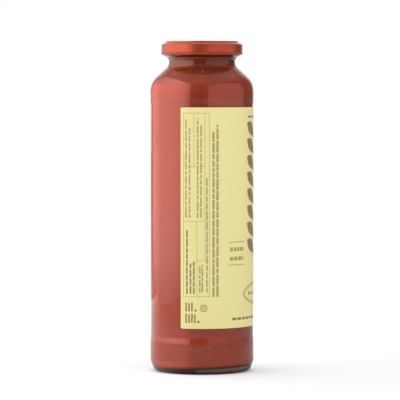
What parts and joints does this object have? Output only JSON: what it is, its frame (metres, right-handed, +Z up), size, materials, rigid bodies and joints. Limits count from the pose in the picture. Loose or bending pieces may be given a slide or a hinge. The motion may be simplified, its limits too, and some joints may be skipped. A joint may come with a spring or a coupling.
{
  "type": "jar of pasta sauce",
  "caption": "Tall cylindrical glass jar filled with tomato pasta sauce, closed by a twist-off steel lid and wrapped with a plain paper label.",
  "frame": {"origin": "centre of the jar's foot, on the surface that it stands on", "axes": "+Z up along the jar's axis; -Y towards the middle of the label; +X to the right of someone who faces the label"},
  "size_m": [0.072, 0.072, 0.2283],
  "materials": {
    "glass": "clear flint glass, polished",
    "sauce": "tomato sauce with fine pulp, wet against the glass",
    "lid_lacquer": "orange-red lacquer on tinplate, satin",
    "sealing_compound": "soft pale compound, matt",
    "label_paper": "pale yellow coated paper, slightly glossy"
  },
  "bodies": {
    "root": {"jar": "glass", "sauce": "sauce", "lid": "lid_lacquer", "lid_gasket": "sealing_compound", "label": "label_paper"}
  },
  "joints": []
}
